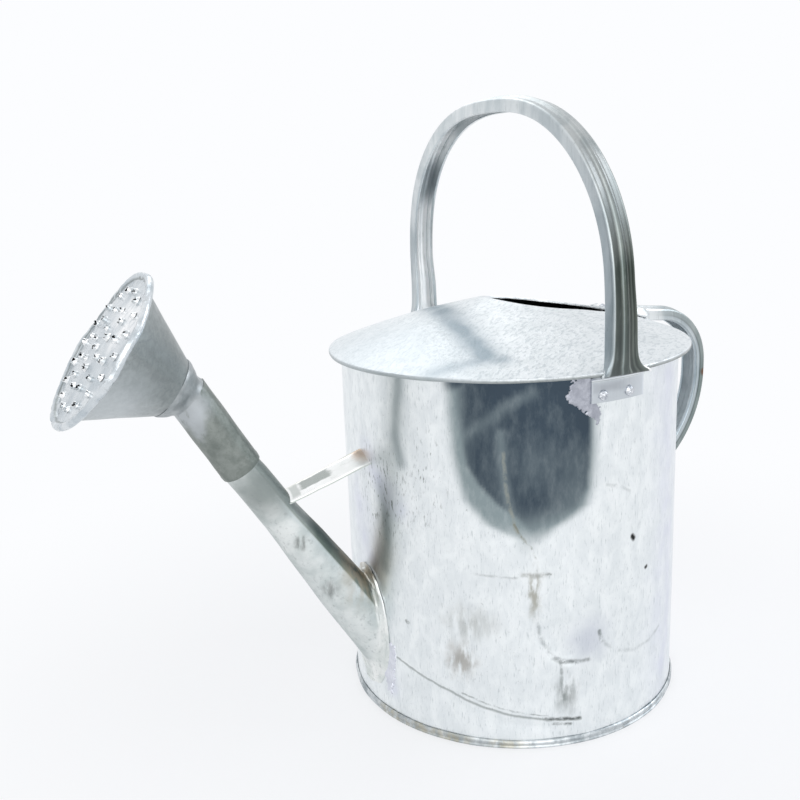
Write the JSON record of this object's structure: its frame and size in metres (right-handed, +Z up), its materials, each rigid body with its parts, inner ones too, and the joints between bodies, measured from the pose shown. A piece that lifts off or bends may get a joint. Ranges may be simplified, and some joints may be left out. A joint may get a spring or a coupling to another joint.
{
  "type": "watering can",
  "caption": "Round galvanised sheet watering can with a lidded top, riveted bow and back handles, braced spout and pull-off sprinkler rose.",
  "frame": {"origin": "centre of the body's underside, on the ground", "axes": "+Z up along the body's axis; the spout points to -X and the back handle to +X; the bow handle's legs stand at +Y and -Y"},
  "size_m": [0.4929, 0.257, 0.415],
  "materials": {
    "body_sheet": "galvanised, satin, stained",
    "base_sheet": "galvanised, dull, stained",
    "lid_sheet": "galvanised, satin",
    "strap_steel": "galvanised, satin, worn",
    "spout_sheet": "galvanised, satin, brown tint along the top",
    "brace_steel": "galvanised, satin",
    "sleeve_sheet": "dull grey, weathered",
    "solder": "soldered, smeared",
    "cone_sheet": "dull grey, weathered",
    "rose_plate": "bright, dented",
    "rivet_steel": "satin"
  },
  "bodies": {
    "can": {"body_shell": "body_sheet", "base_pan": "base_sheet", "top_cover": "lid_sheet", "bow_handle": "strap_steel", "rear_handle": "strap_steel", "spout": "spout_sheet", "spout_brace": "brace_steel", "bow_handle_rivets": "rivet_steel", "rear_handle_rivets": "rivet_steel"},
    "rose": {"rose_sleeve": "sleeve_sheet", "rose_collar": "solder", "rose_cone": "cone_sheet", "rose_face": "rose_plate"}
  },
  "joints": [
    {"name": "rose_pull", "type": "slide", "parent": "can", "child": "rose", "axis": [-0.5, 0, 0.866], "range_m": [0, 0.06]}
  ]
}
